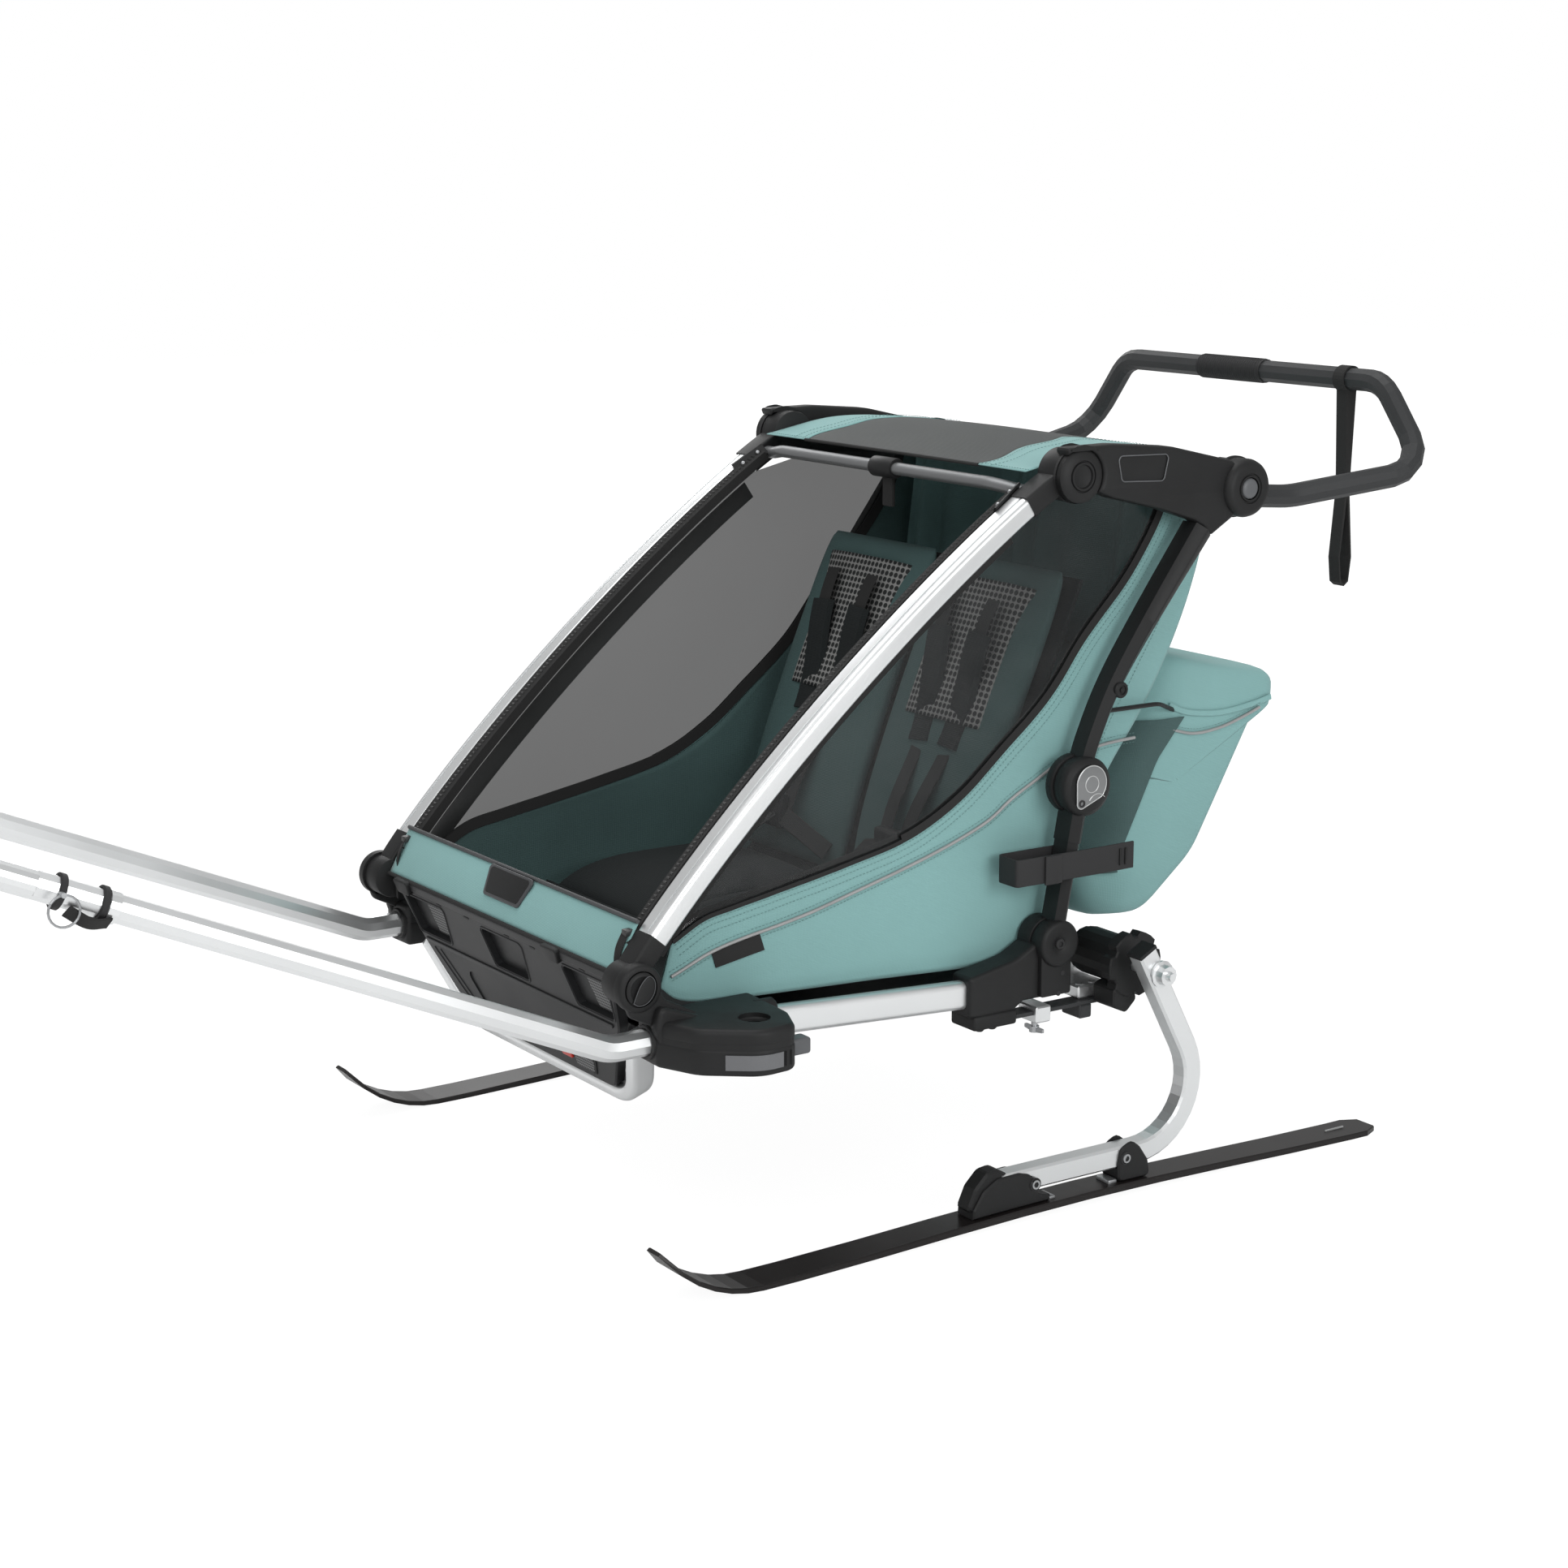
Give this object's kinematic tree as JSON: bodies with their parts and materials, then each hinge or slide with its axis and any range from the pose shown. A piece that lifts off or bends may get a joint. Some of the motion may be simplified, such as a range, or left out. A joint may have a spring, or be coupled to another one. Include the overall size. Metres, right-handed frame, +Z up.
{
  "type": "child bike trailer",
  "caption": "Folding two-seat child trailer in teal cloth, standing on skis, with pull poles and a push handle.",
  "frame": {"origin": "middle of the length and width, on the plane of the ski soles", "axes": "+Z up, -Y the way the trailer travels, along the pull poles, +X to the trailer's left"},
  "size_m": [0.889, 2.877, 1.007],
  "materials": {
    "satin_aluminium": "satin",
    "black_plastic": "matte",
    "charcoal_plastic": "fine grain",
    "charcoal_tube": "painted satin",
    "grey_steel": "satin",
    "teal_fabric": "woven",
    "seat_fabric": "mesh and padded cloth",
    "black_webbing": "woven",
    "black_rubber": "matte",
    "ski_lacquer": "glossy",
    "red_lens": "glossy"
  },
  "bodies": {
    "base": {"base_rail_left": "satin_aluminium", "base_rail_right": "satin_aluminium", "arm_pod_left": "black_plastic", "arm_pod_right": "black_plastic", "rear_casting_left": "black_plastic", "rear_casting_right": "black_plastic", "rear_cross_tube": "satin_aluminium", "front_shell": "charcoal_plastic", "bumper_tube": "satin_aluminium", "floor_pan": "black_plastic", "axle_tube": "satin_aluminium", "canopy": "teal_fabric", "seat": "seat_fabric", "front_sill": "teal_fabric", "leaf_spring_left": "grey_steel", "leaf_spring_right": "grey_steel", "brake_drum_left": "black_plastic", "brake_drum_right": "black_plastic", "ski_arm_left": "satin_aluminium", "ski_arm_right": "satin_aluminium", "ski_shoe_left": "black_plastic", "ski_shoe_right": "black_plastic", "ski_clamp_left": "black_plastic", "ski_clamp_right": "black_plastic", "ski_left": "ski_lacquer", "ski_right": "ski_lacquer", "side_panel_left": "teal_fabric", "side_panel_right": "teal_fabric"},
    "struts": {"rear_pillar_lower_left": "black_plastic", "rear_pillar_lower_right": "black_plastic", "wheel_strap_left": "black_rubber", "wheel_strap_right": "black_rubber"},
    "rear_frame": {"top_arm_left": "black_plastic", "top_arm_right": "black_plastic", "rear_pillar_upper_left": "black_plastic", "rear_pillar_upper_right": "black_plastic"},
    "front_frame": {"front_pillar_left": "satin_aluminium", "front_pillar_right": "satin_aluminium", "roof_cross_tube": "charcoal_tube"},
    "bag": {"bag_hoop": "grey_steel", "cargo_bag": "teal_fabric"},
    "light": {"tail_light": "red_lens"},
    "handle": {"handlebar": "charcoal_tube"},
    "strap": {"wrist_strap": "black_webbing"},
    "button_left": {"release_button_left": "charcoal_plastic"},
    "knob_left": {"lock_knob_left": "black_plastic"},
    "tab_left": {"release_tab_left": "charcoal_plastic"},
    "pole_left": {"pull_pole_rear_left": "satin_aluminium", "pull_pole_front_left": "satin_aluminium"},
    "pin_left": {"pole_pin_left": "grey_steel"},
    "slider_left": {"spring_clamp_left": "satin_aluminium"},
    "screw_left": {"clamp_screw_left": "grey_steel"},
    "button_right": {"release_button_right": "charcoal_plastic"},
    "knob_right": {"lock_knob_right": "black_plastic"},
    "tab_right": {"release_tab_right": "charcoal_plastic"},
    "pole_right": {"pull_pole_rear_right": "satin_aluminium", "pull_pole_front_right": "satin_aluminium"},
    "pin_right": {"pole_pin_right": "grey_steel"},
    "slider_right": {"spring_clamp_right": "satin_aluminium"},
    "screw_right": {"clamp_screw_right": "grey_steel"}
  },
  "joints": [
    {"name": "fold", "type": "hinge", "parent": "base", "child": "struts", "pos_m": [0, 0.8115, 0.3175], "axis": [1, 0, 0], "range_deg": [0, 61.2], "deforming": ["canopy", "seat", "side_panel_left", "side_panel_right", "cargo_bag"]},
    {"name": "rear_frame_turn", "type": "hinge", "parent": "struts", "child": "rear_frame", "pos_m": [0, 0.8495, 0.5155], "axis": [1, 0, 0], "range_deg": [-120.95, 0]},
    {"name": "front_frame_turn", "type": "hinge", "parent": "base", "child": "front_frame", "pos_m": [0, 0.1995, 0.3565], "axis": [1, 0, 0], "range_deg": [-20.05, 0]},
    {"name": "bag_level", "type": "hinge", "parent": "rear_frame", "child": "bag", "pos_m": [0, 0.8895, 0.6115], "axis": [1, 0, 0], "range_deg": [0, 59.75]},
    {"name": "tail_light_follow", "type": "slide", "parent": "bag", "child": "light", "axis": [0, 0, 1], "range_m": [0, 0.0888]},
    {"name": "handle_turn", "type": "hinge", "parent": "rear_frame", "child": "handle", "pos_m": [0, 1.1045, 0.8735], "axis": [1, 0, 0], "range_deg": [-40, 90]},
    {"name": "strap_swing", "type": "hinge", "parent": "handle", "child": "strap", "pos_m": [0.194, 1.4205, 0.989], "axis": [1, 0, 0], "range_deg": [-90, 40]},
    {"name": "handle_button_left", "type": "slide", "parent": "rear_frame", "child": "button_left", "axis": [-1, 0, 0], "range_m": [0, 0.004], "stiffness_N_per_m": 500},
    {"name": "front_lock_left", "type": "hinge", "parent": "base", "child": "knob_left", "pos_m": [0.338, 0.1995, 0.3565], "axis": [1, 0, 0], "range_deg": [0, 90]},
    {"name": "socket_key_left", "type": "slide", "parent": "base", "child": "tab_left", "axis": [0, -1, 0], "range_m": [0, 0.004], "stiffness_N_per_m": 500},
    {"name": "pole_unplug_left", "type": "slide", "parent": "base", "child": "pole_left", "axis": [0, -1, 0], "range_m": [0, 0.08]},
    {"name": "pole_pin_pull_left", "type": "slide", "parent": "pole_left", "child": "pin_left", "axis": [1, 0, 0], "range_m": [0, 0.04]},
    {"name": "spring_rate_left", "type": "slide", "parent": "base", "child": "slider_left", "axis": [0, 1, 0], "range_m": [-0.028, 0.045]},
    {"name": "wing_screw_left", "type": "hinge", "parent": "slider_left", "child": "screw_left", "pos_m": [0.315, 0.796, 0.2239], "axis": [0, 0, 1], "range_deg": [0, 180]},
    {"name": "handle_button_right", "type": "slide", "parent": "rear_frame", "child": "button_right", "axis": [1, 0, 0], "range_m": [0, 0.004], "stiffness_N_per_m": 500},
    {"name": "front_lock_right", "type": "hinge", "parent": "base", "child": "knob_right", "pos_m": [-0.338, 0.1995, 0.3565], "axis": [-1, 0, 0], "range_deg": [0, 90]},
    {"name": "socket_key_right", "type": "slide", "parent": "base", "child": "tab_right", "axis": [0, -1, 0], "range_m": [0, 0.004], "stiffness_N_per_m": 500},
    {"name": "pole_unplug_right", "type": "slide", "parent": "base", "child": "pole_right", "axis": [0, -1, 0], "range_m": [0, 0.08]},
    {"name": "pole_pin_pull_right", "type": "slide", "parent": "pole_right", "child": "pin_right", "axis": [-1, 0, 0], "range_m": [0, 0.04]},
    {"name": "spring_rate_right", "type": "slide", "parent": "base", "child": "slider_right", "axis": [0, 1, 0], "range_m": [-0.028, 0.045]},
    {"name": "wing_screw_right", "type": "hinge", "parent": "slider_right", "child": "screw_right", "pos_m": [-0.315, 0.796, 0.2239], "axis": [0, 0, 1], "range_deg": [0, 180]}
  ],
  "couplings": [
    {"joint": "rear_frame_turn", "follows": "fold", "ratio": -1.9755},
    {"joint": "front_frame_turn", "follows": "fold", "ratio": -0.3268},
    {"joint": "bag_level", "follows": "fold", "ratio": 0.9755},
    {"joint": "tail_light_follow", "follows": "fold", "m_per_rad": 0.08304},
    {"joint": "strap_swing", "follows": "handle_turn", "ratio": -1}
  ]
}
